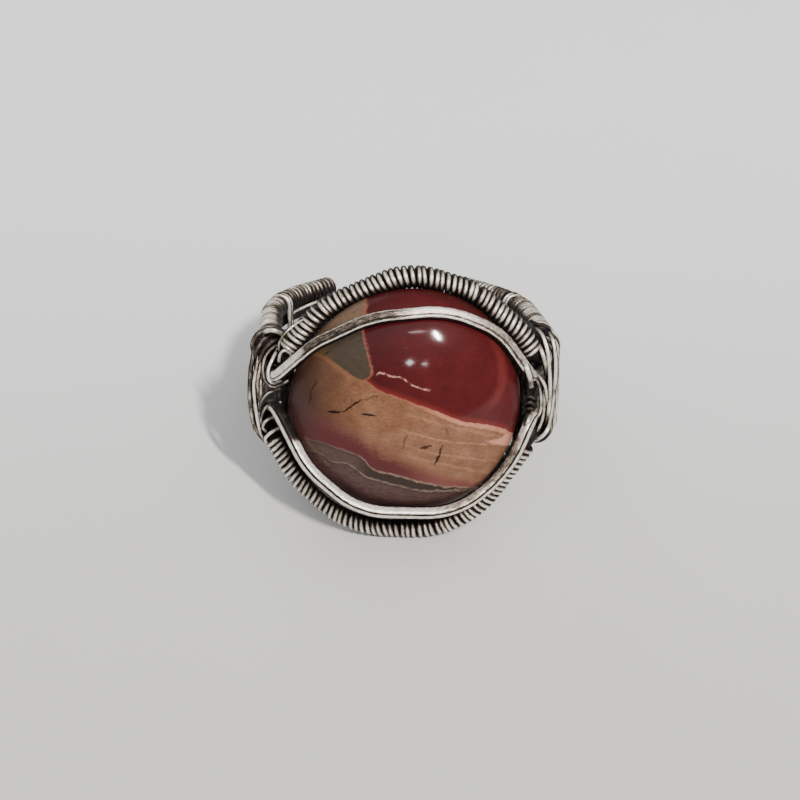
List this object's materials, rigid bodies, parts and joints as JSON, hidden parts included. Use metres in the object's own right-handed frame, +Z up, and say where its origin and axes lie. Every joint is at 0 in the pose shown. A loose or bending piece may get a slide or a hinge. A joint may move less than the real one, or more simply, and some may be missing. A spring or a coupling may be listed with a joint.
{
  "type": "wire-wrapped ring with an oval stone",
  "caption": "Finger ring of oxidised silver wire: an oval domed jasper between close-wound frame wires and bare wires over the dome, on an open wire band, lying on its side.",
  "frame": {"origin": "centre of the bounding box on the floor under the ring, as it lies at rest", "axes": "+X to the right and +Y from the face to the tails, seen from in front of the stone; +Z up"},
  "size_m": [0.0238, 0.0276, 0.0203],
  "materials": {
    "jasper": "polished",
    "silver": "worn, oxidised in the recesses",
    "silver_winding": "fine wire, closely wound, oxidised between the turns"
  },
  "bodies": {
    "root": {"stone": "jasper", "upper_core": "silver", "lower_core": "silver", "upper_prong": "silver", "lower_prong": "silver", "upper_frame_coil": "silver_winding", "lower_frame_coil": "silver_winding", "left_upper_band_coil": "silver_winding", "left_lower_band_coil": "silver_winding", "right_upper_band_coil": "silver_winding", "right_lower_band_coil": "silver_winding", "left_binding": "silver_winding", "right_binding": "silver_winding", "left_tie": "silver_winding", "right_tie": "silver_winding"}
  },
  "joints": []
}
